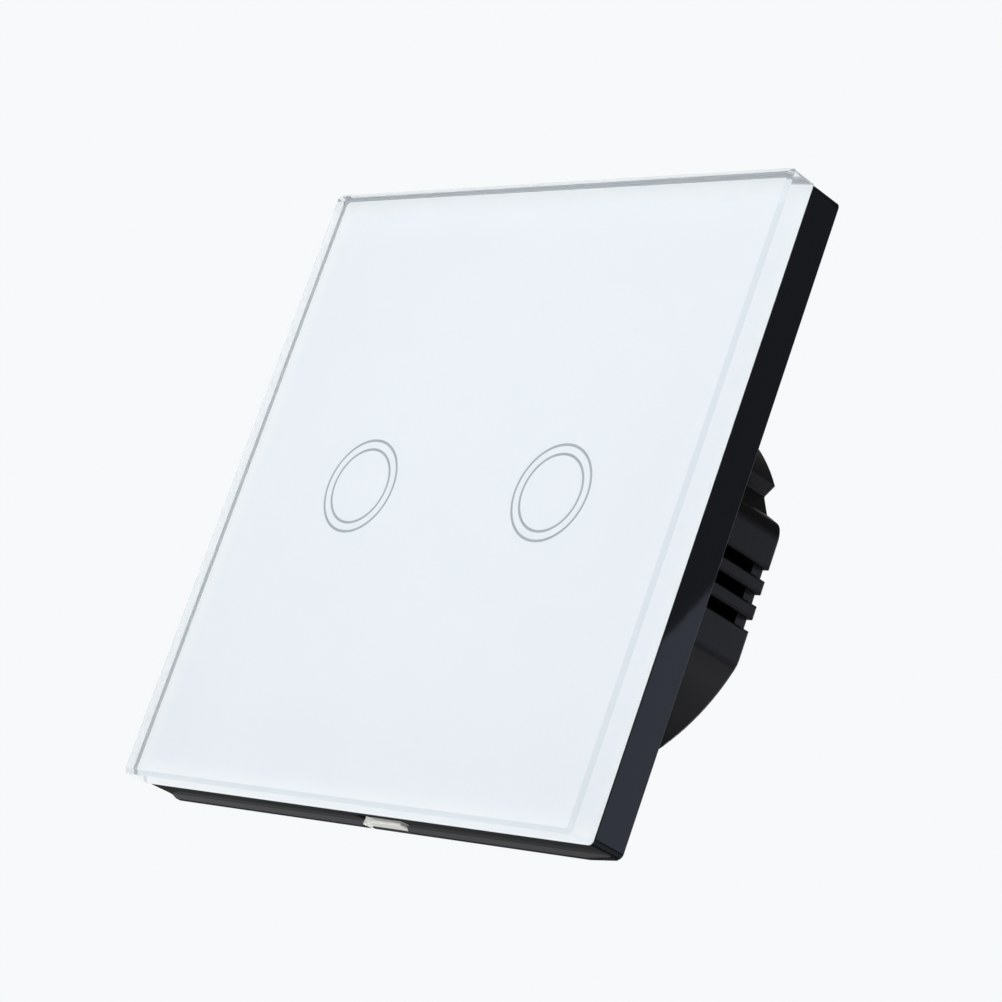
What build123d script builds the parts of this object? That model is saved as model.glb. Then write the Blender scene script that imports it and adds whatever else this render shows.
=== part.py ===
from build123d import *
import math
import os

# Touch light switch with two keys, for a round wall box.
# X points right and Z up as seen from the room, and Y points into the wall.
# Y is zero on the wall plane, and the origin is the middle of the wall screw pattern.
# Lengths are in millimetres, and a pair of numbers is a low and a high plane.

# Glass panel
panel_side = 80.0
glass_thickness = 4.0
glass_corner_radius = 0.6
glass_front_bevel = 0.5
glass_back_bevel = 0.15
panel_stand_off = 5.0

# White print on the back of the glass, with the ring icons let into it
print_thickness = 0.12
print_margin = 0.35
key_spacing_share = 0.675
icon_outer_radius = 6.05
icon_inner_radius = 4.86
icon_line_width = 0.32
icon_line_depth = 0.06

# Adhesive tape between the print and the panel frame
tape_thickness = 0.2
tape_width = 6.0
tape_edge_gap = 0.15

# Panel frame, a shallow black tray behind the glass
frame_setback = 0.1
frame_corner_radius = 0.8
frame_wall = 1.6
frame_web = 1.1
frame_foot_chamfer = 0.2
key_window_radius = 8.0

# Pry lip along the foot of the frame, below a shallow groove, faded out at its right end
lip_projection = 0.35
lip_groove_depth = 0.1
lip_groove_setback = 1.25
lip_land = 0.75
lip_full_x = (-38.6, 35.0)

# Pocket in the foot for a flat blade, and the white release clip in it
pocket_x = (-1.4, 1.1)
pocket_setback = 1.2
pocket_length = 2.5
pocket_depth = 1.1
clip_x = (-1.93, 5.5)
clip_foot_width = 0.75
clip_foot_setback = 0.1
clip_neck_width = 1.63
clip_neck_front = -1.35
clip_bar_left = -0.6
clip_bar_front = -2.4
clip_bar_setback = 0.45
clip_bar_rise = 0.15
clip_side_gap = 0.05
clip_edge_round = 0.12

# Prongs on the frame that plug into windows in the yoke
prong_x = 20.0
prong_inset = 2.0
prong_width = 5.0
prong_thickness = 1.2
prong_clearance = 0.3
prong_wall_gap = 0.1
prong_lead_in = 0.4

# Mounting yoke, a pressed steel plate
yoke_edge_gap = 3.3
yoke_thickness = 1.2
yoke_corner_radius = 4.0
yoke_flange_height = 1.6
yoke_flange_length = 32.0
yoke_opening_clearance = 0.33
yoke_opening_width = 16.0
wall_screw_spacing = 60.0
wall_slot_radius = 2.0
wall_slot_length = 7.0

# Module cover, a shallow lid over the boards
cover_gap = 0.18
cover_reach = 0.2
cover_corner_radius = 3.0
cover_plate = 1.0
cover_wall = 1.0
cover_edge_round = 0.5

# Light guide, a clear flared tube round each touch spring
guide_flare_radius = 6.6
guide_flare_length = 1.1
guide_flare_chamfer = 0.4
guide_stem_radius = 4.6
guide_bore_radius = 3.4
guide_hole_clearance = 0.15
guide_led_gap = 0.3

# Touch spring, a coil that carries the touch to the board
spring_mean_radius = 2.6
spring_wire_radius = 0.25
spring_turns = 3.0
spring_print_gap = 0.28
spring_lead_rise = 0.6
spring_lead_turn_share = 0.125
spring_arcs_per_turn = 4
spring_samples_per_turn = 40

# Indicator lights on the touch board, two to a key
led_length = 1.6
led_width = 0.8
led_height = 0.7

# Boards
board_thickness = 1.6
touch_board_depth = 1.0
power_board_depth = 4.5
board_edge_clearance = 0.3
chip_length = 5.0
chip_width = 4.4
chip_height = 1.5
chip_x = 7.0
chip_z = 10.0
header_pin_count = 4
header_pin_pitch = 2.54
header_pin_radius = 0.3
header_pin_hole_radius = 0.5
header_pin_tail = 0.9
header_width = 2.5
header_z = -15.6

# Back housing, a round cup with two flats
housing_radius = 25.0
housing_flat_inset_share = 0.056
housing_depth = 23.6
housing_wall = 1.2
housing_floor = 1.8
housing_edge_round = 0.45
housing_flat_round_share = 0.16
vent_count = 3
vent_width = 1.45
vent_pitch = 3.2
vent_start = 9.0
vent_mouth_chamfer = 0.3

# Guide groove on each upper shoulder of the housing, in degrees up from X
groove_depth = 1.8
groove_overrun = 2.0
groove_shoulder_round_share = 0.06
groove_floor_round = 0.2
groove_shoulder_turn = 22.8
groove_floor_start_turn = 28.2
groove_floor_end_turn = 35.0
groove_ledge_turn = 36.2

# Recess for the wires at the lower back of the housing
recess_side_room = 0.6
recess_top = -14.0
recess_start = 10.5

# Housing screws, from the yoke into bosses in the housing
boss_turn = 64.4
boss_inset = 3.04
boss_radius = 2.2
boss_length = 8.0
boss_board_clearance = 0.5
screw_shank_radius = 1.1
screw_yoke_clearance = 0.2
screw_boss_clearance = 0.03
screw_length = 7.2
screw_head_radius = 2.0
screw_head_height = 1.0
screw_end_gap = 0.5
screw_slot_width = 0.5
screw_slot_depth = 0.5

# Wire terminals: block, busbars, rising cages and captive screws
terminal_names = ("left", "middle", "right")
terminal_pitch = 8.0
block_half_width = 12.4
block_top = -3.0
block_wall = 1.2
block_gap = 0.2
block_floor_gap = 0.2
block_back_wall = 1.0
block_front_share = 0.22
cage_width = 6.0
cage_cell_clearance = 0.2
cage_side = 0.8
cage_bar = 1.2
cage_front_gap = 0.4
cage_length = 5.5
cage_busbar_gap = 0.4
cage_travel = 1.5
busbar_thickness = 1.0
busbar_side_clearance = 0.2
busbar_end_gap = 0.4
busbar_leg_width = 2.0
busbar_leg_thickness = 0.9
busbar_leg_clearance = 0.2
busbar_leg_tail = 0.2
busbar_back_share = 0.33
terminal_screw_radius = 1.5
terminal_screw_clearance = 0.05
terminal_head_radius = 2.5
terminal_head_height = 1.5
terminal_head_gap = 0.1
terminal_tip_gap = 0.1
driver_hole_radius = 2.1
wire_hole_width = 3.4
wire_hole_margin = 0.1

# Relays, one for each key, lying side by side
relay_names = ("upper", "lower")
relay_length = 18.0
relay_thickness = 6.8
relay_pitch = 7.6
relay_boss_gap = 1.2
relay_floor_gap = 0.4
relay_case_wall = 0.5
relay_base_thickness = 1.2
relay_base_clearance = 0.1
coil_flange_share = 0.2
coil_flange_rise = 0.2
coil_flange_thickness = 0.6
coil_length = 9.6
coil_base_gap = 0.4
coil_core_clearance = 0.05
core_radius = 1.0
core_end_gap = 0.25
pole_inset = 0.5
pole_thickness = 0.8
pole_coil_gap = 0.2
pole_x = 3.9
relay_iron_thickness = 1.0
relay_iron_width = 5.2
relay_iron_gap = 0.3
armature_gap = 0.4
armature_thickness = 0.9
armature_inset = 0.1
armature_tail = 0.7
armature_arm_thickness = 0.4
armature_arm_share = 0.36
armature_arm_width = 3.0
contact_radius = 1.2
contact_height = 0.7
contact_gap = 0.3
contact_end_margin = 0.4
fixed_contact_height = 0.6
fixed_post_thickness = 0.6
fixed_post_width = 3.0

# Other parts on the back of the power board
part_gap = 0.6
capacitor_radius = 3.5
capacitor_height = 11.5
capacitor_wall_gap = 0.9
capacitor_z = 4.6
capacitor_groove_depth = 0.35
capacitor_groove_width = 0.8
capacitor_groove_height = 1.6
transformer_z = 2.6
transformer_length = 10.6
transformer_width = 6.2
transformer_height = 9.4
transformer_iron = 1.7
winding_gap = 0.3
winding_proud = 0.8
winding_wall_gap = 0.55
film_capacitor_wall_gap = 1.1
film_capacitor_z = -1.9
film_capacitor_width = 4.0
film_capacitor_height = 8.0
film_capacitor_round = 0.6
rectifier_z = -7.0
rectifier_length = 4.8
rectifier_width = 3.8
rectifier_height = 2.4
fuse_z = -6.4
fuse_radius = 1.7
fuse_length = 6.0
fuse_cap_length = 1.4
fuse_cap_rise = 0.15
varistor_radius = 3.4
varistor_thickness = 2.6
varistor_round = 0.6

# One overrun serves every cut that leaves a face
overrun = 1.0

# Planes through the depth of the switch, from the room to the wall and on into the box
glass_back = -panel_stand_off
glass_front = glass_back - glass_thickness
print_back = glass_back + print_thickness
web_front = print_back + tape_thickness
web_back = web_front + frame_web
yoke_front = -yoke_thickness
cover_front = web_back + cover_gap
cover_inside = cover_front + cover_plate
touch_board_back = touch_board_depth + board_thickness
power_board_back = power_board_depth + board_thickness
housing_floor_front = housing_depth - housing_floor

# Sizes and places that follow from those above
icon_spacing = key_spacing_share * 2 * housing_radius
key_places = {"left": -icon_spacing / 2, "right": icon_spacing / 2}
print_side = panel_side - 2 * print_margin
frame_side = panel_side - 2 * frame_setback
frame_half = frame_side / 2
frame_cavity_side = frame_side - 2 * frame_wall
tape_side = frame_cavity_side - 2 * tape_edge_gap
pocket_y = (-pocket_setback - pocket_length, -pocket_setback)
pocket_top = -frame_half + pocket_depth
clip_bottom = -frame_half - lip_projection
clip_plans = {
    "foot": ((clip_x[0], clip_x[0] + clip_foot_width), (clip_neck_front, -clip_foot_setback)),
    "neck": ((clip_x[0], clip_x[0] + clip_neck_width), (clip_neck_front, -clip_bar_setback)),
    "bar": ((clip_bar_left, clip_x[1]), (clip_bar_front, -clip_bar_setback)),
}
yoke_side = frame_cavity_side - 2 * yoke_edge_gap
yoke_opening_length = icon_spacing + 2 * (guide_stem_radius + yoke_opening_clearance)
cover_side = 2 * (housing_radius + cover_reach)
housing_flat = housing_radius * (1 - housing_flat_inset_share)
inner_flat = housing_flat - housing_wall
boss_reach = housing_radius - boss_inset
boss_x = boss_reach * math.cos(math.radians(boss_turn))
boss_z = boss_reach * math.sin(math.radians(boss_turn))
boss_places = [(x, z) for x in (-boss_x, boss_x) for z in (-boss_z, boss_z)]
recess_half_width = block_half_width + recess_side_room
prong_z = yoke_side / 2 - prong_inset
prong_places = [(x, z) for x in (-prong_x, prong_x) for z in (-prong_z, prong_z)]
terminal_places = {
    name: (index - (len(terminal_names) - 1) / 2) * terminal_pitch
    for index, name in enumerate(terminal_names)
}
relay_top = boss_z - boss_radius - relay_boss_gap
relay_places = {
    name: relay_top - relay_thickness / 2 - index * relay_pitch for index, name in enumerate(relay_names)
}


def block(x, y, z):
    """A solid block between pairs of planes."""
    size = [high - low for low, high in (x, y, z)]
    middle = [(low + high) / 2 for low, high in (x, y, z)]
    return Pos(*middle) * Box(*size)


def prism(outline, y):
    """An outline drawn in X and Z, carried from one depth to another."""
    low, high = y
    return extrude(Plane.XZ.offset(-low) * outline, amount=low - high)


def side_prism(outline, x):
    """An outline drawn in Y and Z, carried from one side to another."""
    low, high = x
    return extrude(Plane.YZ.offset(low) * outline, amount=high - low)


def square(side, corner_radius):
    """A square outline with round corners."""
    return RectangleRounded(side, side, corner_radius)


def disc(x, z, radius, y):
    """A round bar along Y."""
    return prism(Pos(x, z) * Circle(radius), y)


def cross_bar(y, z, radius, x):
    """A round bar along X."""
    return side_prism(Pos(y, z) * Circle(radius), x)


def around(middle, size):
    """The pair of planes of a size about its middle."""
    return (middle - size / 2, middle + size / 2)


def end_edges(shape, axis, end):
    """The edges of a solid's first or last flat face along an axis."""
    return shape.faces().sort_by(axis)[end].edges()


def polar(radius, turn):
    """The point at a radius and a turn in degrees from X towards Z."""
    return (radius * math.cos(math.radians(turn)), radius * math.sin(math.radians(turn)))


def fuse_all(shapes):
    """Several touching solids as one."""
    first, *others = shapes
    return first.fuse(*others) if others else first


# Glass, print and icons


def glass_panel():
    """Square float glass with polished edges."""
    slab = prism(square(panel_side, glass_corner_radius), (glass_front, glass_back))
    slab = chamfer(end_edges(slab, Axis.Y, 0), glass_front_bevel)
    return chamfer(end_edges(slab, Axis.Y, -1), glass_back_bevel)


def icon_outline(x):
    """Two thin concentric rings about a key's centre."""
    half_line = icon_line_width / 2
    rings = Sketch()
    for radius in (icon_outer_radius, icon_inner_radius):
        rings += Circle(radius + half_line) - Circle(radius - half_line)
    return Pos(x, 0) * rings


def icon_rings(x):
    """The printed rings of one key."""
    return prism(icon_outline(x), (glass_back, glass_back + icon_line_depth))


def white_print():
    """The white layer, thinner where the rings are printed first."""
    corner = glass_corner_radius * print_side / panel_side
    layer = prism(square(print_side, corner), (glass_back, print_back))
    for x in key_places.values():
        layer -= prism(icon_outline(x), (glass_back - overrun, glass_back + icon_line_depth))
    return layer


def adhesive_tape():
    """A square frame of thin tape."""
    outer = Rectangle(tape_side, tape_side)
    inner_side = tape_side - 2 * tape_width
    return prism(outer - Rectangle(inner_side, inner_side), (print_back, web_front))


# Panel frame and release clip


def frame_lip():
    """The lip at the foot, drawn as its section in Y and Z and faded out towards its ends."""
    side = -frame_half
    groove = (-lip_groove_setback, side + lip_groove_depth)
    section = Polyline(
        groove,
        (-lip_land, side - lip_projection),
        (0, side - lip_projection),
        (0, side + lip_groove_depth),
        close=True,
    )
    straight = frame_half - frame_corner_radius
    lip = side_prism(make_face(section), (-straight, straight))
    bottom = side - lip_projection
    tapered = Polyline(
        (-straight, side),
        (lip_full_x[0], bottom),
        (lip_full_x[1], bottom),
        (straight, side),
        (straight, side + lip_projection),
        (-straight, side + lip_projection),
        close=True,
    )
    return lip & prism(make_face(tapered), (print_back, 0))


def frame_groove():
    """The shallow wedge above the lip, cut from the foot of the frame."""
    side = -frame_half
    section = Polyline(
        (print_back, side),
        (-lip_groove_setback, side + lip_groove_depth),
        (-lip_land, side),
        (-lip_land, side - overrun),
        (print_back, side - overrun),
        close=True,
    )
    return side_prism(make_face(section), (-frame_half - overrun, frame_half + overrun))


def release_pocket():
    """The blade pocket in the foot, with a seat for the clip let into the lip."""
    z = (-frame_half - overrun, pocket_top)
    cuts = [block(pocket_x, pocket_y, z)]
    for name, (x, y) in clip_plans.items():
        seat_x = (x[0] - clip_side_gap, x[1] + clip_side_gap)
        seat_y = (y[0] - clip_side_gap, overrun if name == "foot" else y[1])
        cuts.append(block(seat_x, seat_y, z))
    return fuse_all(cuts)


def panel_prong(x, z):
    """One prong, with its end narrowed to find the window."""
    thick = around(z, prong_thickness)
    prong = block(around(x, prong_width), (web_back, -prong_wall_gap), thick)
    return chamfer(end_edges(prong, Axis.Y, -1), prong_lead_in)


def panel_frame():
    """The tray with its web, key windows, foot lip, pocket and prongs."""
    shell = prism(square(frame_side, frame_corner_radius), (print_back, 0))
    shell = chamfer(end_edges(shell, Axis.Y, -1), frame_foot_chamfer)
    shell = shell - frame_groove() + frame_lip()
    shell -= prism(Rectangle(frame_cavity_side, frame_cavity_side), (web_back, overrun))
    shell -= prism(Rectangle(frame_cavity_side, frame_cavity_side), (print_back - overrun, web_front))
    for x in key_places.values():
        shell -= disc(x, 0, key_window_radius, (web_front - overrun, web_back + overrun))
    shell -= release_pocket()
    return fuse_all([shell] + [panel_prong(x, z) for x, z in prong_places])


def release_clip():
    """The white clip: a bar along the lip, and a neck at its left end with a deeper foot."""
    pieces = []
    for name, (x, y) in clip_plans.items():
        rise = 0 if name == "foot" else clip_bar_rise
        piece = block(x, y, (clip_bottom + rise, pocket_top))
        pieces.append(fillet(end_edges(piece, Axis.Z, 0), clip_edge_round))
    return fuse_all(pieces)


# Yoke and module cover


def mounting_yoke():
    """The steel plate with its flanges, wall slots, opening, screw holes and prong windows."""
    through = (yoke_front - overrun, overrun)
    yoke = prism(square(yoke_side, yoke_corner_radius), (yoke_front, 0))
    flange_y = (yoke_front - yoke_flange_height, yoke_front)
    edge = (yoke_side / 2 - yoke_thickness, yoke_side / 2)
    along = around(0, yoke_flange_length)
    for low, high in (edge, (-edge[1], -edge[0])):
        yoke += block((low, high), flange_y, along)
        yoke += block(along, flange_y, (low, high))
    yoke -= prism(SlotOverall(yoke_opening_length, yoke_opening_width), through)
    slot = SlotOverall(wall_slot_length, 2 * wall_slot_radius)
    upright_slot = Rot(0, 0, 90) * slot
    for place in (-wall_screw_spacing / 2, wall_screw_spacing / 2):
        yoke -= prism(Pos(place, 0) * slot, through)
        yoke -= prism(Pos(0, place) * upright_slot, through)
    for x, z in boss_places:
        yoke -= disc(x, z, screw_shank_radius + screw_yoke_clearance, through)
    for x, z in prong_places:
        window_x = around(x, prong_width + 2 * prong_clearance)
        yoke -= block(window_x, through, around(z, prong_thickness + 2 * prong_clearance))
    return yoke


def module_cover():
    """The lid over the boards, with a hole for each light guide."""
    lid = prism(square(cover_side, cover_corner_radius), (cover_front, yoke_front))
    lid = fillet(end_edges(lid, Axis.Y, 0), cover_edge_round)
    inner = cover_side - 2 * cover_wall
    lid -= prism(square(inner, cover_corner_radius - cover_wall), (cover_inside, yoke_front + overrun))
    for x in key_places.values():
        hole = guide_stem_radius + guide_hole_clearance
        lid -= disc(x, 0, hole, (cover_front - overrun, cover_inside + overrun))
    return lid


# Keys: light guides, springs and indicator lights


def light_guide(x):
    """A clear tube whose flared front end sits on the module cover."""
    flare = disc(x, 0, guide_flare_radius, (cover_front - guide_flare_length, cover_front))
    flare = chamfer(end_edges(flare, Axis.Y, 0), guide_flare_chamfer)
    stem_end = touch_board_depth - led_height - guide_led_gap
    stem = disc(x, 0, guide_stem_radius, (cover_front, stem_end))
    bore = (cover_front - guide_flare_length - overrun, stem_end + overrun)
    return flare + stem - disc(x, 0, guide_bore_radius, bore)


def biarc(start, start_way, end, end_way):
    """Two arcs that join two points with the given directions, and the point where they meet."""
    way = end - start
    both = start_way + end_way
    turn = 2 * (1 - start_way.dot(end_way))
    lead = way.dot(both)
    reach = (math.sqrt(lead * lead + turn * way.dot(way)) - lead) / turn
    joint = (start + start_way * reach + end - end_way * reach) / 2
    first = TangentArc(start, joint, tangent=start_way)
    return [first, TangentArc(joint, end, tangent=first % 1)]


def touch_spring(x):
    """A coil from the board to just short of the print, with straight ends."""
    front = print_back + spring_print_gap
    straight = 2 * spring_wire_radius
    foot, tip = touch_board_depth - straight, front + straight
    low, high = foot - spring_lead_rise, tip + spring_lead_rise

    def coil_point(share):
        turn = 2 * math.pi * spring_turns * share
        place = Vector(spring_mean_radius * math.cos(turn), 0, spring_mean_radius * math.sin(turn))
        return Vector(x, low + (high - low) * share, 0) + place

    def coil_way(share):
        turn = 2 * math.pi * spring_turns * share
        round_rate = 2 * math.pi * spring_turns * spring_mean_radius
        way = Vector(-round_rate * math.sin(turn), high - low, round_rate * math.cos(turn))
        return way.normalized()

    lead = spring_lead_turn_share / spring_turns
    steps = math.ceil(spring_arcs_per_turn * spring_turns)
    shares = [lead + (1 - 2 * lead) * step / steps for step in range(steps + 1)]
    out = Vector(0, -1, 0)
    foot_point, tip_point = coil_point(0), coil_point(1)
    foot_point.Y, tip_point.Y = foot, tip
    starts = [(foot_point, out)] + [(coil_point(s), coil_way(s)) for s in shares] + [(tip_point, out)]
    path = [Line(Vector(0, straight, 0) + starts[0][0], starts[0][0])]
    for (point, way), (next_point, next_way) in zip(starts, starts[1:]):
        path += biarc(point, way, next_point, next_way)
    path.append(Line(starts[-1][0], starts[-1][0] + out * straight))
    wire = Wire(path)
    report_coil_gap(wire)
    profile = Plane(origin=wire @ 0, z_dir=wire % 0) * Circle(spring_wire_radius)
    return sweep(profile, path=wire)


def report_coil_gap(wire):
    """Print the least gap between a spring's turns, measured on points along its middle line."""
    count = math.ceil(spring_samples_per_turn * spring_turns)
    points = [wire @ (step / count) for step in range(count + 1)]
    half_turn = math.floor(count / spring_turns / 2)
    spans = [
        (first - second).length
        for index, first in enumerate(points)
        for second in points[index + half_turn :]
    ]
    print("least gap between the turns of a touch spring:", round(min(spans) - 2 * spring_wire_radius, 2))


def indicator_leds():
    """Two small lights under each light guide's stem."""
    lights = []
    ring = (guide_stem_radius + guide_bore_radius) / 2
    y = (touch_board_depth - led_height, touch_board_depth)
    for x in key_places.values():
        for z in (-ring, ring):
            lights.append(block(around(x, led_length), y, around(z, led_width)))
    return Compound(children=lights)


# Back housing


def groove_outline(side):
    """The guide groove under its ledge, on the right or the left shoulder."""
    floor = housing_radius - groove_depth
    outside = housing_radius + groove_overrun
    corners = [
        polar(outside, groove_shoulder_turn),
        polar(housing_radius, groove_shoulder_turn),
        polar(floor, groove_floor_start_turn),
        polar(floor, groove_floor_end_turn),
        polar(housing_radius, groove_ledge_turn),
        polar(outside, groove_ledge_turn),
    ]
    rounds = [groove_floor_round if place in (2, 3) else 0 for place in range(len(corners))]
    return make_face(FilletPolyline(*[(side * x, z) for x, z in corners], radius=rounds, close=True))


def housing_outline():
    """The round outline with two flats and the two guide grooves, rounded where they start."""
    outline = Circle(housing_radius) & Rectangle(2 * housing_flat, 2 * housing_radius)
    for side in (-1, 1):
        outline -= groove_outline(side)
    flat_turn = math.degrees(math.acos(housing_flat / housing_radius))
    shares = {groove_shoulder_turn: groove_shoulder_round_share}
    shares |= {turn: housing_flat_round_share for turn in (-flat_turn, flat_turn)}
    for turn, share in shares.items():
        x, z = polar(housing_radius, turn)
        corners = [outline.vertices().sort_by_distance(Vector(side * x, z))[0] for side in (-1, 1)]
        outline = fillet(corners, share * housing_radius)
    return outline


def cavity_outline():
    """The inside of the housing, one wall in from its outline."""
    return offset(housing_outline(), amount=-housing_wall)


def recess_block(grown):
    """The wire recess, or the space it takes with its walls when grown by them."""
    x = around(0, 2 * (recess_half_width + grown))
    y = (recess_start - grown, housing_depth + overrun)
    return block(x, y, (-housing_radius - overrun, recess_top + grown))


def vent_slots():
    """Three slots with chamfered mouths through each flat side, open at the back edge."""
    half = vent_width / 2
    mouth = half + vent_mouth_chamfer + overrun
    slots = []
    for side in (-1, 1):
        for index in range(vent_count):
            z = (index - (vent_count - 1) / 2) * vent_pitch
            corners = [
                (inner_flat, -half),
                (housing_flat - vent_mouth_chamfer, -half),
                (housing_flat + overrun, -mouth),
                (housing_flat + overrun, mouth),
                (housing_flat - vent_mouth_chamfer, half),
                (inner_flat, half),
            ]
            outline = make_face(Polyline(*[(side * x, z + rise) for x, rise in corners], close=True))
            slots.append(prism(outline, (vent_start, housing_depth + overrun)))
    return slots


def screw_bosses():
    """The four bosses, cut to the inside of the wall so that they join it."""
    room = prism(cavity_outline(), (-overrun, boss_length + overrun))
    return [disc(x, z, boss_radius, (0, boss_length)) & room for x, z in boss_places]


def back_housing():
    """The moulded cup with vents, guide grooves, wire recess, wire holes and driver holes."""
    cup = prism(housing_outline(), (0, housing_depth))
    cup = fillet(end_edges(cup, Axis.Y, -1), housing_edge_round)
    cavity = prism(cavity_outline(), (-overrun, housing_floor_front)) - recess_block(housing_wall)
    cup = cup - cavity - recess_block(0)
    for slot in vent_slots():
        cup -= slot
    for x in terminal_places.values():
        ceiling = (recess_top - overrun, recess_top + housing_wall + overrun)
        cup -= block(around(x, wire_hole_width), wire_hole_y, ceiling)
        cup -= disc(x, cage_z, driver_hole_radius, (housing_floor_front - overrun, housing_depth + overrun))
    for boss in screw_bosses():
        cup += boss
    hole_end = yoke_front + screw_length + screw_end_gap
    for x, z in boss_places:
        cup -= disc(x, z, screw_shank_radius + screw_boss_clearance, (-overrun, hole_end))
    return cup


def housing_screws():
    """Four slotted screws that hold the housing to the yoke."""
    screws = []
    for x, z in boss_places:
        head_front = yoke_front - screw_head_height
        head = disc(x, z, screw_head_radius, (head_front, yoke_front))
        head -= block(
            around(x, 2 * screw_head_radius + overrun),
            (head_front - overrun, head_front + screw_slot_depth),
            around(z, screw_slot_width),
        )
        shank = disc(x, z, screw_shank_radius, (yoke_front, yoke_front + screw_length))
        screws.append(head + shank)
    return Compound(children=screws)


# Boards and what joins them


def board_outline():
    """The outline of both boards, clear of the wall and of the bosses."""
    outline = offset(cavity_outline(), amount=-board_edge_clearance)
    for x, z in boss_places:
        outline -= Pos(x, z) * Circle(boss_radius + boss_board_clearance)
    return outline


def header_places():
    """Where the pins stand along the header."""
    first = -(header_pin_count - 1) / 2 * header_pin_pitch
    return [first + index * header_pin_pitch for index in range(header_pin_count)]


def touch_board():
    """The front board, with holes for the header's pins."""
    y = (touch_board_depth, touch_board_back)
    board = prism(board_outline(), y)
    for x in header_places():
        board -= disc(x, header_z, header_pin_hole_radius, (y[0] - overrun, y[1] + overrun))
    return board


def power_board():
    """The rear board, with holes for the header's pins and slots for the busbars."""
    y = (power_board_depth, power_board_back)
    through = (y[0] - overrun, y[1] + overrun)
    board = prism(board_outline(), y)
    for x in header_places():
        board -= disc(x, header_z, header_pin_hole_radius, through)
    for x in terminal_places.values():
        board -= leg_slot(x, through)
    return board


def touch_chip():
    """The touch controller on the back of the front board."""
    y = (touch_board_back, touch_board_back + chip_height)
    return block(around(chip_x, chip_length), y, around(chip_z, chip_width))


def pin_header():
    """A row of pins in a plastic strip between the boards."""
    length = header_pin_count * header_pin_pitch
    strip_y = (touch_board_back, power_board_depth)
    strip = block(around(0, length), strip_y, around(header_z, header_width))
    pin_y = (touch_board_depth - header_pin_tail, power_board_back + header_pin_tail)
    return fuse_all([strip] + [disc(x, header_z, header_pin_radius, pin_y) for x in header_places()])


# Wire terminals, with the screw axes along Y and the wires coming up along Z

block_y = (power_board_back, housing_floor_front - block_floor_gap)
block_z = (recess_top + housing_wall + block_gap, block_top)
block_depth = block_y[1] - block_y[0]
cell_back = block_y[1] - block_back_wall
cell_y = (block_y[0] + block_front_share * block_depth, cell_back)
cell_top = block_top - block_wall
busbar_back = cell_back - busbar_back_share * block_depth
busbar_front = busbar_back - busbar_thickness
cage_back = busbar_back + cage_busbar_gap + cage_bar
cage_front = cell_y[0] + cage_front_gap
cage_z = (block_z[0] + cell_top - busbar_leg_thickness) / 2
wire_hole_y = (cage_front + cage_bar + wire_hole_margin, busbar_front - wire_hole_margin)


def leg_slot(x, y):
    """The slot that lets a busbar's leg through the block and the board."""
    top = cell_top + busbar_leg_clearance
    low = cell_top - busbar_leg_thickness - busbar_leg_clearance
    return block(around(x, busbar_leg_width + 2 * busbar_leg_clearance), y, (low, top))


def terminal_block():
    """The moulded block with three cells open towards the wires, and a driver hole behind each."""
    body = block(around(0, 2 * block_half_width), block_y, block_z)
    for x in terminal_places.values():
        cell_x = around(x, cage_width + 2 * cage_cell_clearance)
        body -= block(cell_x, cell_y, (block_z[0] - overrun, cell_top))
        body -= leg_slot(x, (block_y[0] - overrun, cell_y[0] + overrun))
        body -= disc(x, cage_z, driver_hole_radius, (cell_back - overrun, block_y[1] + overrun))
    return body


def busbar(x):
    """A bar that the wire is clamped to, with a leg through to the power board."""
    width = cage_width - 2 * cage_side - 2 * busbar_side_clearance
    bar_z = (block_z[0] + busbar_end_gap, cell_top)
    bar = block(around(x, width), (busbar_front, busbar_back), bar_z)
    leg_y = (power_board_depth - busbar_leg_tail, busbar_front)
    leg = block(around(x, busbar_leg_width), leg_y, (cell_top - busbar_leg_thickness, cell_top))
    return bar + leg


def terminal_cage(x):
    """The loop that rises to clamp the wire, threaded for the screw at its back."""
    z = around(cage_z, cage_length)
    loop = block(around(x, cage_width), (cage_front, cage_back), z)
    inside = (cage_front + cage_bar, cage_back - cage_bar)
    loop -= block(around(x, cage_width - 2 * cage_side), inside, (z[0] - overrun, z[1] + overrun))
    thread = terminal_screw_radius + terminal_screw_clearance
    return loop - disc(x, cage_z, thread, (cage_back - cage_bar - overrun, cage_back + overrun))


def terminal_screw(x):
    """A captive slotted screw that turns in place and draws its cage back."""
    head_y = (cell_back - terminal_head_gap - terminal_head_height, cell_back - terminal_head_gap)
    head = disc(x, cage_z, terminal_head_radius, head_y)
    head -= block(
        around(x, 2 * terminal_head_radius + overrun),
        (head_y[1] - screw_slot_depth, head_y[1] + overrun),
        around(cage_z, screw_slot_width),
    )
    return head + disc(x, cage_z, terminal_screw_radius, (busbar_back + terminal_tip_gap, head_y[0]))


# Relays, in places counted from each relay's own middle plane


relay_y = (power_board_back, housing_floor_front - relay_floor_gap)
relay_base_back = power_board_back + relay_base_thickness
relay_room = relay_y[1] - relay_case_wall - relay_base_back
coil_flange_radius = coil_flange_share * relay_room
armature_arm_length = armature_arm_share * relay_room
coil_y = relay_base_back + coil_base_gap + coil_flange_radius
coil_end = pole_x - pole_thickness - pole_coil_gap
coil_start = coil_end - coil_length
iron_y = (
    coil_y + coil_flange_radius + relay_iron_gap,
    coil_y + coil_flange_radius + relay_iron_gap + relay_iron_thickness,
)
armature_x = (pole_x + armature_gap, pole_x + armature_gap + armature_thickness)
armature_pivot = (sum(armature_x) / 2, sum(iron_y) / 2)
armature_end = armature_pivot[1] + armature_tail
contact_y = armature_end + armature_arm_length - contact_end_margin - contact_radius
arm_x = around(armature_pivot[0], armature_arm_thickness)


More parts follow.
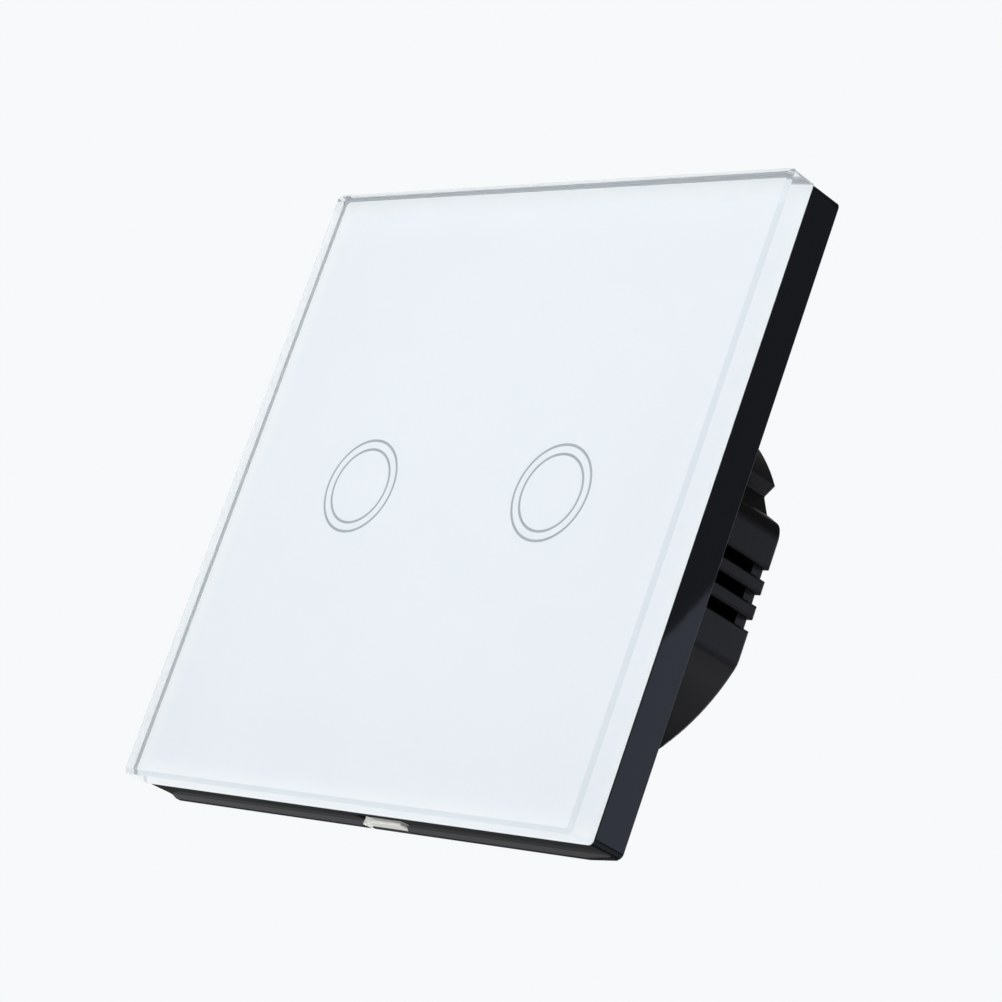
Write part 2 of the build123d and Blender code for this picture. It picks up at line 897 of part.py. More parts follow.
def relay_base(z):
    """The plate that closes the case and carries the contacts."""
    inset = 2 * (relay_case_wall + relay_base_clearance)
    return block(
        around(0, relay_length - inset),
        (relay_y[0], relay_base_back),
        around(z, relay_thickness - inset),
    )


def relay_case(z):
    """The thin case, open towards the board."""
    case = block(around(0, relay_length), relay_y, around(z, relay_thickness))
    inside_y = (relay_y[0] - overrun, relay_y[1] - relay_case_wall)
    inside_x = around(0, relay_length - 2 * relay_case_wall)
    return case - block(inside_x, inside_y, around(z, relay_thickness - 2 * relay_case_wall))


def relay_coil(z):
    """The wound bobbin."""
    coil = cross_bar(coil_y, z, coil_flange_radius - coil_flange_rise, (coil_start, coil_end))
    for start in (coil_start, coil_end - coil_flange_thickness):
        coil += cross_bar(coil_y, z, coil_flange_radius, (start, start + coil_flange_thickness))
    bore = core_radius + coil_core_clearance
    return coil - cross_bar(coil_y, z, bore, (coil_start - overrun, coil_end + overrun))


def relay_core(z):
    """The core, its pole face and the iron that leads round to the armature."""
    leg_x = (coil_start - core_end_gap - relay_iron_thickness, coil_start - core_end_gap)
    core = cross_bar(coil_y, z, core_radius, (leg_x[1], pole_x))
    pole_radius = coil_flange_radius - pole_inset
    pole = cross_bar(coil_y, z, pole_radius, (pole_x - pole_thickness, pole_x))
    width = around(z, relay_iron_width)
    leg = block(leg_x, (coil_y - core_radius, iron_y[1]), width)
    back = block((leg_x[0], pole_x), iron_y, width)
    return fuse_all([core, pole, leg, back])


def relay_armature(z):
    """The hinged plate with its contact arm and moving contact."""
    plate_y = (coil_y - coil_flange_radius + armature_inset, armature_end)
    plate = block(armature_x, plate_y, around(z, relay_iron_width))
    arm_y = (armature_end, armature_end + armature_arm_length)
    arm = block(arm_x, arm_y, around(z, armature_arm_width))
    contact = cross_bar(contact_y, z, contact_radius, (arm_x[1], arm_x[1] + contact_height))
    return fuse_all([plate, arm, contact])


def relay_fixed_contact(z):
    """The post on the base with the contact that the arm closes on."""
    face = arm_x[1] + contact_height + contact_gap
    button = cross_bar(contact_y, z, contact_radius, (face, face + fixed_contact_height))
    post_x = (face + fixed_contact_height, face + fixed_contact_height + fixed_post_thickness)
    post_y = (relay_base_back, contact_y + contact_radius)
    return button + block(post_x, post_y, around(z, fixed_post_width))


# Other parts on the power board


def smoothing_capacitor():
    """An upright can with its rolled groove near the board."""
    y = (power_board_back, power_board_back + capacitor_height)
    capacitor_x = inner_flat - capacitor_wall_gap - capacitor_radius
    can = disc(capacitor_x, capacitor_z, capacitor_radius, y)
    groove_y = around(y[0] + capacitor_groove_height, capacitor_groove_width)
    rings = Circle(capacitor_radius + overrun) - Circle(capacitor_radius - capacitor_groove_depth)
    return can - prism(Pos(capacitor_x, capacitor_z) * rings, groove_y)


transformer_x = winding_wall_gap + winding_proud + winding_gap + transformer_width / 2 - inner_flat


def transformer_core():
    """Two outer limbs, two yokes and the middle limb, as one ring with a bar."""
    y = (power_board_back, power_board_back + transformer_height)
    core = block(around(transformer_x, transformer_width), y, around(transformer_z, transformer_length))
    window = (transformer_length - 3 * transformer_iron) / 2
    for side in (-1, 1):
        z = transformer_z + side * (transformer_iron + window) / 2
        core -= block(
            around(transformer_x, transformer_width + overrun),
            (y[0] + transformer_iron, y[1] - transformer_iron),
            around(z, window),
        )
    return core


def transformer_winding():
    """The winding round the middle limb, standing proud of the core on both sides."""
    start = power_board_back + transformer_iron + winding_gap
    end = power_board_back + transformer_height - transformer_iron - winding_gap
    window = (transformer_length - 3 * transformer_iron) / 2
    limb_x = transformer_width + 2 * winding_gap
    limb_z = transformer_iron + 2 * winding_gap
    coil_x = limb_x + 2 * winding_proud
    coil_z = transformer_iron + 2 * window - 2 * winding_gap
    coil = block(around(transformer_x, coil_x), (start, end), around(transformer_z, coil_z))
    room = (start - overrun, end + overrun)
    return coil - block(around(transformer_x, limb_x), room, around(transformer_z, limb_z))


def film_capacitor():
    """A block-shaped film capacitor."""
    x = (block_half_width + part_gap, inner_flat - film_capacitor_wall_gap)
    y = (power_board_back, power_board_back + film_capacitor_height)
    body = block(x, y, around(film_capacitor_z, film_capacitor_width))
    return fillet(end_edges(body, Axis.Y, -1), film_capacitor_round)


def bridge_rectifier():
    """The rectifier, lying flat on the board."""
    x = (block_half_width + part_gap, block_half_width + part_gap + rectifier_width)
    y = (power_board_back, power_board_back + rectifier_height)
    return block(x, y, around(rectifier_z, rectifier_length))


def line_fuse():
    """A small fuse lying along Z, with a cap at each end."""
    fuse_x = -block_half_width - part_gap - fuse_radius - fuse_cap_rise
    y = power_board_back + fuse_radius + fuse_cap_rise
    z = around(fuse_z, fuse_length)
    tube = Pos(fuse_x, y, fuse_z) * Cylinder(fuse_radius, fuse_length)
    for end, side in zip(z, (1, -1)):
        middle = end + side * fuse_cap_length / 2
        tube += Pos(fuse_x, y, middle) * Cylinder(fuse_radius + fuse_cap_rise, fuse_cap_length)
    return tube


def varistor():
    """A disc varistor standing on the board above the relays."""
    y = power_board_back + varistor_radius
    z = relay_top + part_gap + varistor_thickness / 2
    body = Pos(0, y, z) * Cylinder(varistor_radius, varistor_thickness)
    return fillet(body.edges().filter_by(GeomType.CIRCLE), varistor_round)


def all_pieces():
    """Every piece of the switch under its own name."""
    pieces = {
        "glass_panel": glass_panel(),
        "white_print": white_print(),
        "adhesive_tape": adhesive_tape(),
        "panel_frame": panel_frame(),
        "release_clip": release_clip(),
        "mounting_yoke": mounting_yoke(),
        "module_cover": module_cover(),
        "indicator_leds": indicator_leds(),
        "touch_board": touch_board(),
        "touch_chip": touch_chip(),
        "pin_header": pin_header(),
        "power_board": power_board(),
        "back_housing": back_housing(),
        "housing_screws": housing_screws(),
        "terminal_block": terminal_block(),
        "smoothing_capacitor": smoothing_capacitor(),
        "transformer_core": transformer_core(),
        "transformer_winding": transformer_winding(),
        "film_capacitor": film_capacitor(),
        "bridge_rectifier": bridge_rectifier(),
        "line_fuse": line_fuse(),
        "varistor": varistor(),
    }
    for name, x in key_places.items():
        pieces[f"icon_rings_{name}"] = icon_rings(x)
        pieces[f"light_guide_{name}"] = light_guide(x)
        pieces[f"touch_spring_{name}"] = touch_spring(x)
    for name, x in terminal_places.items():
        pieces[f"busbar_{name}"] = busbar(x)
        pieces[f"terminal_cage_{name}"] = terminal_cage(x)
        pieces[f"terminal_screw_{name}"] = terminal_screw(x)
    for name, z in relay_places.items():
        pieces[f"relay_base_{name}"] = relay_base(z)
        pieces[f"relay_case_{name}"] = relay_case(z)
        pieces[f"relay_coil_{name}"] = relay_coil(z)
        pieces[f"relay_core_{name}"] = relay_core(z)
        pieces[f"relay_armature_{name}"] = relay_armature(z)
        pieces[f"relay_contact_{name}"] = relay_fixed_contact(z)
    return pieces


os.makedirs("parts", exist_ok=True)
for node, shape in all_pieces().items():
    export_step(shape, f"parts/{node}.step")
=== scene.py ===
"""Touch light switch with a glass panel: the finishes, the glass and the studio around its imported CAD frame.

Every length in a class field is in millimetres and every place is in the row frame, whose origin is the
middle of the yoke's wall face, with +Y into the wall and +Z up. Meshes are made in metres.
"""

import logging
import math
from dataclasses import dataclass, field
from enum import Enum, IntEnum
from typing import Any, Callable

import bmesh
import bpy
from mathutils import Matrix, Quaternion, Vector

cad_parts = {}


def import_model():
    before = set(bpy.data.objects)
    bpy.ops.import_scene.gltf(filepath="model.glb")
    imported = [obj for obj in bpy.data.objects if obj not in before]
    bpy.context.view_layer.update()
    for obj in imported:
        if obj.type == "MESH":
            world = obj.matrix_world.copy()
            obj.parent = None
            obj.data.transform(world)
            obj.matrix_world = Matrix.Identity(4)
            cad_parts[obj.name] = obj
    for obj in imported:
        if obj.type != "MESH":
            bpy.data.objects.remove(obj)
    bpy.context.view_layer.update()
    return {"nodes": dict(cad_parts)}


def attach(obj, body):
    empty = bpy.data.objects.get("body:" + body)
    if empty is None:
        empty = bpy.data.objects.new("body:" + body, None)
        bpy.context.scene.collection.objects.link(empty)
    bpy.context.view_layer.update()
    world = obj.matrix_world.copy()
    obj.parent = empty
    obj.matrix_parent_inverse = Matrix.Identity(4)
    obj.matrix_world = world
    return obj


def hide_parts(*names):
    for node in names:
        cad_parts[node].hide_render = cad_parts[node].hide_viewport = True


LOG = logging.getLogger("touch_switch")
MM = 0.001

# The square of the panel, and how far the print stays inside it
PANEL_SIDE = 80.0
PRINT_MARGIN = 0.35


class Body(Enum):
    """The CAD body that the new piece rides on."""

    PANEL = "panel"


class Domain(Enum):
    """What is selected in edit mode."""

    EDGE = "EDGE"
    FACE = "FACE"


class Operation(Enum):
    """What a maths node does with its two values."""

    MAXIMUM = "MAXIMUM"
    MULTIPLY = "MULTIPLY"


class GlassSlot(IntEnum):
    """The material slots of the plate of glass."""

    CLEAR = 0
    GROUND = 1
    BEVEL = 2


# Colour and nodes

# The transfer curve of sRGB
SRGB_KNEE = 0.04045
SRGB_SLOPE = 12.92
SRGB_OFFSET = 0.055
SRGB_POWER = 2.4

# A share or a level at its fullest
FULL = 1.0

# Sockets of the node that mixes two colours
MIX_FIRST, MIX_SECOND, MIX_RESULT = 6, 7, 2

# How fine each kind of noise is
PATCH_DETAIL = 3.0
GRAIN_DETAIL = 2.0
RIPPLE_DETAIL = 1.0

# What all solid surfaces share
SURFACE_IOR = 1.5
LEAST_ROUGHNESS = 0.02
COAT_ROUGHNESS = 0.08
EDGE_SAMPLES = 4

Socket = bpy.types.NodeSocket
Tree = bpy.types.NodeTree


def straighten(level: float) -> float:
    """Turn one sRGB level between nothing and one into a linear level.

    Args:
        level: The sRGB level.

    Returns:
        The linear level.
    """
    if level <= SRGB_KNEE:
        return level / SRGB_SLOPE
    return ((level + SRGB_OFFSET) / (FULL + SRGB_OFFSET)) ** SRGB_POWER


def linear(colour: str) -> tuple[float, float, float, float]:
    """Turn an sRGB hex colour into linear red, green, blue and an alpha of one.

    Args:
        colour: Six hex digits with a leading #.

    Returns:
        The four channels that a colour socket takes.
    """
    red, green, blue = (straighten(level / 255) for level in bytes.fromhex(colour[1:]))
    return red, green, blue, FULL


def add_node(
    tree: Tree,
    kind: str,
    settings: dict[Any, Any] | None = None,
    links: dict[Any, Socket] | None = None,
) -> bpy.types.Node:
    """Add one node, set its properties or sockets, and link what feeds it.

    Args:
        tree: The node tree that gets the node.
        kind: The node's type name.
        settings: Property names, or input names or numbers, with their values.
        links: Input names or numbers with the outputs that feed them.

    Returns:
        The new node.
    """
    node = tree.nodes.new(kind)
    for name, value in (settings or {}).items():
        if isinstance(name, str) and hasattr(node, name):
            setattr(node, name, value)
        else:
            node.inputs[name].default_value = value
    for name, output in (links or {}).items():
        tree.links.new(output, node.inputs[name])
    return node


def empty_material(name: str) -> tuple[bpy.types.Material, Tree]:
    """Make a material with no nodes.

    Args:
        name: What the material is called.

    Returns:
        The material and its node tree.
    """
    material = bpy.data.materials.new(name)
    material.use_nodes = True
    material.node_tree.nodes.clear()
    return material, material.node_tree


def in_millimetres(tree: Tree) -> Socket:
    """Give object coordinates counted in millimetres.

    Args:
        tree: The node tree that reads them.

    Returns:
        The vector output to feed to a texture.
    """
    place = add_node(tree, "ShaderNodeTexCoord")
    scaled = add_node(
        tree, "ShaderNodeVectorMath", {"operation": "SCALE", "Scale": 1 / MM}, {0: place.outputs["Object"]}
    )
    return scaled.outputs[0]


def noise(tree: Tree, place: Socket, size_mm: float, detail: float) -> Socket:
    """Make a noise texture.

    Args:
        tree: The node tree that gets it.
        place: The coordinates that it is laid out by, in millimetres.
        size_mm: About how wide one blot of it is.
        detail: How many finer layers lie on it.

    Returns:
        Its value, from nothing to one.
    """
    texture = add_node(
        tree, "ShaderNodeTexNoise", {"Scale": 1 / size_mm, "Detail": detail}, {"Vector": place}
    )
    return texture.outputs["Fac"]


def bump(tree: Tree, height: Socket, depth_mm: float, normal: Socket | None = None) -> Socket:
    """Let a value raise the surface.

    Args:
        tree: The node tree that gets the node.
        height: The value.
        depth_mm: How high the surface lies where the value is one.
        normal: The normal that it starts from, if not the mesh's own.

    Returns:
        The new normal.
    """
    links = {"Height": height} if normal is None else {"Height": height, "Normal": normal}
    raised = add_node(tree, "ShaderNodeBump", {"Distance": depth_mm * MM}, links)
    return raised.outputs[0]


def combine(tree: Tree, operation: Operation, first: Socket, second: Socket | float) -> Socket:
    """Reckon with two values.

    Args:
        tree: The node tree that gets the node.
        operation: What is done with them.
        first: An output.
        second: Another output, or a number.

    Returns:
        The result.
    """
    settings: dict[Any, Any] = {"operation": operation.value}
    links = {0: first}
    if isinstance(second, float):
        settings[1] = second
    else:
        links[1] = second
    return add_node(tree, "ShaderNodeMath", settings, links).outputs[0]


def ease(
    tree: Tree, value: Socket, start: float, end: float, low: float = 0.0, high: float = FULL
) -> Socket:
    """Lead a value from one level to another, gently at both ends.

    Args:
        tree: The node tree that gets the node.
        value: The output that leads.
        start: Where the change starts.
        end: Where it is done.
        low: The level before it.
        high: The level after it.

    Returns:
        The eased value.
    """
    eased = add_node(
        tree,
        "ShaderNodeMapRange",
        {
            "interpolation_type": "SMOOTHSTEP",
            "From Min": start,
            "From Max": end,
            "To Min": low,
            "To Max": high,
        },
        {"Value": value},
    )
    return eased.outputs[0]


def mix_colours(tree: Tree, share: Socket, first: Socket | str, second: Socket | str) -> Socket:
    """Mix two colours, each of them given in hex digits or by an output.

    Args:
        tree: The node tree that gets the node.
        share: How much of the second colour shows.
        first: The first colour.
        second: The second colour.

    Returns:
        The mixed colour.
    """
    settings: dict[Any, Any] = {"data_type": "RGBA"}
    links = {0: share}
    for number, colour in ((MIX_FIRST, first), (MIX_SECOND, second)):
        if isinstance(colour, str):
            settings[number] = linear(colour)
        else:
            links[number] = colour
    return add_node(tree, "ShaderNodeMix", settings, links).outputs[MIX_RESULT]


def mix_shaders(tree: Tree, share: Socket, first: bpy.types.Node, second: bpy.types.Node) -> bpy.types.Node:
    """Mix two shaders.

    Args:
        tree: The node tree that gets the node.
        share: How much of the second shader shows.
        first: The first shader.
        second: The second shader.

    Returns:
        The node that mixes them.
    """
    return add_node(
        tree, "ShaderNodeMixShader", links={0: share, 1: first.outputs[0], 2: second.outputs[0]}
    )


# The kinds of finish


@dataclass(frozen=True)
class Finish:
    """A solid surface: its colour with a slow drift of tone, its sheen, and the texture it was made with."""

    name: str
    colour: str
    tone: str
    roughness: float
    swing: float = 0.06
    metallic: float = 0.0
    patch_mm: float = 9.0
    grain_mm: float = 0.25
    grain_depth_mm: float = 0.004
    stretch: tuple[float, float, float] = (1.0, 1.0, 1.0)
    edge_mm: float = 0.12
    coat: float = 0.0
    specular: float = 0.5
    wave_depth_mm: float = 0.0

    def make(self) -> bpy.types.Material:
        """Build the material.

        Returns:
            The finished material.
        """
        material, tree = empty_material(self.name)
        place = in_millimetres(tree)
        patches = noise(tree, place, self.patch_mm, PATCH_DETAIL)
        shader = add_node(
            tree,
            "ShaderNodeBsdfPrincipled",
            {
                "Metallic": self.metallic,
                "IOR": SURFACE_IOR,
                "Specular IOR Level": self.specular,
                "Coat Weight": self.coat,
                "Coat Roughness": COAT_ROUGHNESS,
            },
            {
                "Base Color": self.paint(tree, place, patches),
                "Roughness": self.sheen(tree, patches),
                "Normal": self.relief(tree, place, patches),
            },
        )
        add_node(tree, "ShaderNodeOutputMaterial", links={"Surface": shader.outputs[0]})
        return material

    def paint(self, tree: Tree, place: Socket, patches: Socket) -> Socket:
        """Mix the colour with its tone, patch by patch, wherever on the piece the place lies."""
        return mix_colours(tree, patches, self.colour, self.tone)

    def sheen(self, tree: Tree, patches: Socket) -> Socket:
        """Let the roughness swing about its middle, patch by patch.

        Args:
            tree: The material's nodes.
            patches: The slow noise of the surface.

        Returns:
            The roughness output.
        """
        swung = add_node(
            tree,
            "ShaderNodeMapRange",
            {
                "To Min": max(self.roughness - self.swing, LEAST_ROUGHNESS),
                "To Max": min(self.roughness + self.swing, FULL),
            },
            {"Value": patches},
        )
        return swung.outputs[0]

    def relief(self, tree: Tree, place: Socket, patches: Socket) -> Socket:
        """Soften the edges, and lay the grain and the slow wave on the surface.

        Args:
            tree: The material's nodes.
            place: Object coordinates in millimetres.
            patches: The slow noise of the surface.

        Returns:
            The normal output.
        """
        edge = add_node(tree, "ShaderNodeBevel", {"samples": EDGE_SAMPLES, "Radius": self.edge_mm * MM})
        drawn = add_node(tree, "ShaderNodeMapping", {"Scale": Vector(self.stretch)}, {"Vector": place})
        grain = noise(tree, drawn.outputs[0], self.grain_mm, GRAIN_DETAIL)
        normal = bump(tree, grain, self.grain_depth_mm, edge.outputs[0])
        if self.wave_depth_mm:
            normal = bump(tree, patches, self.wave_depth_mm, normal)
        return normal


@dataclass(frozen=True)
class PaintedRimLightFinish(Finish):
    """A square layer with light painted along its rim: paler there, standing in for the light that the ground
    edge of the glass lets in.
    """

    # Painted light: the colour of the rim, and how wide and strong its full bright edge and its softer glow
    # are painted
    rim: str = "#FFFFFF"
    half_side: float = PANEL_SIDE / 2 - PRINT_MARGIN
    painted_edge_light_mm: float = 0.5
    painted_glow_mm: float = 3.0
    painted_glow_share: float = 0.5

    def paint(self, tree: Tree, place: Socket, patches: Socket) -> Socket:
        """Mix in the rim's painted light by the distance to the nearest side.

        Args:
            tree: The material's nodes.
            place: Object coordinates in millimetres.
            patches: The slow noise of the surface.

        Returns:
            The colour output.
        """
        body = super().paint(tree, place, patches)
        size = add_node(tree, "ShaderNodeVectorMath", {"operation": "ABSOLUTE"}, {0: place})
        axes = add_node(tree, "ShaderNodeSeparateXYZ", links={0: size.outputs[0]})
        farther = combine(tree, Operation.MAXIMUM, axes.outputs["X"], axes.outputs["Z"])
        # Painted light: a full bright line at the very edge and a wider, weaker glow along the rim
        line, glow = (
            ease(tree, farther, self.half_side - width, self.half_side, high=share)
            for width, share in ((self.painted_edge_light_mm, FULL), (self.painted_glow_mm, self.painted_glow_share))
        )
        return mix_colours(tree, combine(tree, Operation.MAXIMUM, line, glow), body, self.rim)


@dataclass(frozen=True)
class ClearFinish:
    """A clear and polished material that lets the lamps through to what lies behind it."""

    name: str
    colour: str
    shade: str
    ior: float
    ripple_mm: float
    ripple_depth_mm: float

    def make(self) -> bpy.types.Material:
        """Build the material.

        Returns:
            The finished material.
        """
        material, tree = empty_material(self.name)
        ripple = noise(tree, in_millimetres(tree), self.ripple_mm, RIPPLE_DETAIL)
        clear = add_node(
            tree,
            "ShaderNodeBsdfPrincipled",
            {
                "Base Color": linear(self.colour),
                "Roughness": 0.0,
                "IOR": self.ior,
                "Transmission Weight": FULL,
            },
            {"Normal": bump(tree, ripple, self.ripple_depth_mm)},
        )
        through = add_node(tree, "ShaderNodeBsdfTransparent", {"Color": linear(self.shade)})
        path = add_node(tree, "ShaderNodeLightPath")
        mixed = mix_shaders(tree, path.outputs["Is Shadow Ray"], clear, through)
        add_node(tree, "ShaderNodeOutputMaterial", links={"Surface": mixed.outputs[0]})
        return material


# The finishes of this switch, each with what its making gives the eye

# Float glass: mirror-smooth and all but colourless
FLOAT_GLASS = ClearFinish(
    "polished_float_glass", "#F5F8F8", "#F7FAFB", ior=1.52, ripple_mm=30.0, ripple_depth_mm=0.0004
)
# The same glass on its front bevel, where the eye looks along more of it
GLASS_BEVEL = ClearFinish(
    "polished_glass_bevel", "#DCE4E6", "#EEF2F3", ior=1.52, ripple_mm=6.0, ripple_depth_mm=0.0006
)
# Clear acrylic light guide: polished all round, with a faint ripple from its mould
CLEAR_ACRYLIC = ClearFinish(
    "moulded_clear_acrylic", "#F4F6F7", "#E6EAEC", ior=1.49, ripple_mm=3.0, ripple_depth_mm=0.003
)
# White enamel screen-printed on the back of the glass: even, cool and without gloss of its own, with light
# painted paler along its rim
WHITE_ENAMEL = PaintedRimLightFinish(
    "screen_printed_white_enamel",
    "#F5F7FA",
    "#F1F3F8",
    roughness=0.6,
    patch_mm=22.0,
    grain_mm=0.3,
    grain_depth_mm=0.0008,
    edge_mm=0.02,
)
# Grey ink of the key rings: flat, a little uneven where the screen's mesh laid it
RING_INK = Finish(
    "screen_printed_grey_ink",
    "#9FA6AD",
    "#B0B6BC",
    roughness=0.65,
    patch_mm=1.5,
    grain_mm=0.12,
    grain_depth_mm=0.001,
    edge_mm=0.01,
)
# The arris of the glass, ground but not polished: grey where it scatters the light
GROUND_ARRIS = Finish(
    "ground_glass_arris",
    "#BFC3C9",
    "#C8CCD1",
    roughness=0.7,
    patch_mm=2.0,
    grain_mm=0.08,
    edge_mm=0.01,
)
# Acrylic foam tape: white, matt and open-pored
FOAM_TAPE = Finish(
    "acrylic_foam_tape",
    "#DAD9D4",
    "#CFCFC9",
    roughness=0.85,
    patch_mm=3.0,
    grain_mm=0.15,
    grain_depth_mm=0.02,
    edge_mm=0.03,
)
# Black ABS from a polished tool: glossy, with a faint wave where the moulding shrank
BLACK_ABS = Finish(
    "moulded_black_abs",
    "#16171B",
    "#1B1C21",
    roughness=0.03,
    swing=0.006,
    patch_mm=14.0,
    grain_mm=0.6,
    grain_depth_mm=0.0001,
    wave_depth_mm=0.006,
)
# Black polycarbonate of the wall housing: duller than the frame, with a soft sheen
BLACK_PC = Finish(
    "moulded_black_polycarbonate",
    "#141517",
    "#1A1A1C",
    roughness=0.3,
    swing=0.05,
    patch_mm=11.0,
    grain_mm=0.5,
    grain_depth_mm=0.003,
    edge_mm=0.15,
    specular=0.42,
)
# Black nylon of the terminal block: waxy and a touch greyer
BLACK_NYLON = Finish("moulded_black_nylon", "#1C1D1F", "#232426", roughness=0.42, patch_mm=6.0, grain_mm=0.3)
# White nylon of the release clip: warm white with a waxy sheen
WHITE_NYLON = Finish("moulded_white_nylon", "#F4F3EE", "#ECEBE5", roughness=0.42, patch_mm=4.0)
# Blue relay cover: a thin glossy moulding
RELAY_BLUE = Finish(
    "moulded_blue_polyester",
    "#1E4E93",
    "#245A9F",
    roughness=0.28,
    patch_mm=7.0,
    grain_mm=0.4,
    grain_depth_mm=0.002,
)
# Zinc-plated steel sheet: grey-blue with a cloudy passivated tone and faint rolling lines
ZINC_STEEL = Finish(
    "zinc_plated_steel_sheet",
    "#B9BDC1",
    "#A7ACB2",
    roughness=0.34,
    swing=0.08,
    metallic=0.75,
    patch_mm=5.0,
    grain_mm=0.4,
    grain_depth_mm=0.003,
    stretch=(1.0, 1.0, 0.06),
    edge_mm=0.15,
)
# Drawn spring wire: bright and fine-grained
SPRING_STEEL = Finish(
    "drawn_spring_steel_wire",
    "#C3C5C8",
    "#AEB1B5",
    roughness=0.28,
    metallic=0.85,
    patch_mm=1.0,
    grain_mm=0.15,
    grain_depth_mm=0.002,
    edge_mm=0.02,
)
# Nickel-plated soft iron of the relays: dull and even
NICKEL_IRON = Finish(
    "nickel_plated_iron",
    "#A9A7A1",
    "#9C9A95",
    roughness=0.38,
    metallic=1.0,
    patch_mm=4.0,
    grain_mm=0.2,
    grain_depth_mm=0.002,
)
# Turned brass: warm, with the fine marks of its tool
TURNED_BRASS = Finish(
    "turned_brass",
    "#C9A85C",
    "#B7954C",
    roughness=0.3,
    metallic=1.0,
    patch_mm=3.0,
    grain_mm=0.12,
    grain_depth_mm=0.003,
)
# Pressed ferrite: near black and crystalline
FERRITE = Finish(
    "sintered_ferrite",
    "#2A2A2C",
    "#353537",
    roughness=0.55,
    patch_mm=1.2,
    grain_mm=0.12,
    grain_depth_mm=0.01,
    edge_mm=0.1,
)
# Enamelled copper under clear amber tape
COPPER_WINDING = Finish(
    "enamelled_copper_winding",
    "#A85A28",
    "#8F4A20",
    roughness=0.35,
    swing=0.1,
    patch_mm=0.8,
    grain_mm=0.14,
    grain_depth_mm=0.02,
)
# Solder mask on glass-fibre board: green and glossy over a faint weave
SOLDER_MASK = Finish(
    "solder_masked_board",
    "#17613A",
    "#1D6E43",
    roughness=0.3,
    patch_mm=1.6,
    grain_mm=0.3,
    edge_mm=0.05,
    coat=0.3,
)
# Black epoxy of the chip, the rectifier and the relay bases
EPOXY = Finish(
    "transfer_moulded_epoxy",
    "#1D1D1E",
    "#262627",
    roughness=0.5,
    patch_mm=2.0,
    grain_mm=0.1,
    grain_depth_mm=0.006,
)
# Shrink sleeve of the smoothing capacitor
SLEEVE = Finish(
    "shrunk_pvc_sleeve",
    "#1B2140",
    "#232A4D",
    roughness=0.25,
    patch_mm=3.0,
    grain_mm=0.3,
    grain_depth_mm=0.002,
)
# Dipped lacquer of the varistor
LACQUER = Finish(
    "dipped_blue_lacquer",
    "#1F4A8A",
    "#2A5797",
    roughness=0.22,
    patch_mm=1.5,
    grain_mm=0.5,
    grain_depth_mm=0.02,
)
# Ceramic body of the fuse
CERAMIC = Finish("matt_ceramic", "#DDD8CA", "#D2CCBC", roughness=0.7, patch_mm=1.5, grain_mm=0.08)
# Yellow box of the film capacitor
YELLOW_BOX = Finish(
    "moulded_yellow_polyester",
    "#D9A521",
    "#CF9A1C",
    roughness=0.35,
    patch_mm=3.0,
    grain_mm=0.3,
    grain_depth_mm=0.003,
)
# Water-clear resin of the small lamps, milky over its phosphor
LAMP_RESIN = Finish(
    "milky_lamp_resin",
    "#E4E3C9",
    "#DAD8B8",
    roughness=0.3,
    patch_mm=0.8,
    grain_mm=0.1,
    grain_depth_mm=0.002,
    edge_mm=0.03,
)

DRESSED_NODES: dict[str, Finish | ClearFinish] = {
    "white_print": WHITE_ENAMEL,
    "icon_rings_left": RING_INK,
    "icon_rings_right": RING_INK,
    "adhesive_tape": FOAM_TAPE,
    "panel_frame": BLACK_ABS,
    "release_clip": WHITE_NYLON,
    "mounting_yoke": ZINC_STEEL,
    "module_cover": BLACK_ABS,
    "light_guide_left": CLEAR_ACRYLIC,
    "light_guide_right": CLEAR_ACRYLIC,
    "touch_spring_left": SPRING_STEEL,
    "touch_spring_right": SPRING_STEEL,
    "indicator_leds": LAMP_RESIN,
    "touch_board": SOLDER_MASK,
    "touch_chip": EPOXY,
    "pin_header": BLACK_NYLON,
    "power_board": SOLDER_MASK,
    "back_housing": BLACK_PC,
    "housing_screws": ZINC_STEEL,
    "terminal_block": BLACK_NYLON,
    "busbar_left": TURNED_BRASS,
    "busbar_middle": TURNED_BRASS,
    "busbar_right": TURNED_BRASS,
    "terminal_cage_left": ZINC_STEEL,
    "terminal_cage_middle": ZINC_STEEL,
    "terminal_cage_right": ZINC_STEEL,
    "terminal_screw_left": ZINC_STEEL,
    "terminal_screw_middle": ZINC_STEEL,
    "terminal_screw_right": ZINC_STEEL,
    "relay_base_lower": EPOXY,
    "relay_base_upper": EPOXY,
    "relay_case_lower": RELAY_BLUE,
    "relay_case_upper": RELAY_BLUE,
    "relay_coil_lower": COPPER_WINDING,
    "relay_coil_upper": COPPER_WINDING,
    "relay_core_lower": NICKEL_IRON,
    "relay_core_upper": NICKEL_IRON,
    "relay_armature_lower": NICKEL_IRON,
    "relay_armature_upper": NICKEL_IRON,
    "relay_contact_lower": TURNED_BRASS,
    "relay_contact_upper": TURNED_BRASS,
    "smoothing_capacitor": SLEEVE,
    "transformer_core": FERRITE,
    "transformer_winding": COPPER_WINDING,
    "film_capacitor": YELLOW_BOX,
    "bridge_rectifier": EPOXY,
    "line_fuse": CERAMIC,
    "varistor": LACQUER,
}


# Modelling helpers

# A direction this near to an axis counts as along it, and a bevel's normal leans at least this far
ALONG = 0.9
LEANING = 0.1


def start_cube(name: str, centre: Vector, size: Vector) -> bpy.types.Object:
    """Add a box at its place and leave it selected in edit mode.

    Args:
        name: The piece's name.
        centre: Its middle, in millimetres.
        size: Its size along X, Y and Z, in millimetres.

    Returns:
        The new object, in edit mode.
    """
    bpy.ops.object.select_all(action="DESELECT")
    bpy.ops.mesh.primitive_cube_add(size=1.0, location=centre * MM)
    piece = bpy.context.object
    piece.name = piece.data.name = name
    bpy.ops.object.mode_set(mode="EDIT")
    bpy.ops.transform.resize(value=size * MM)
    return piece


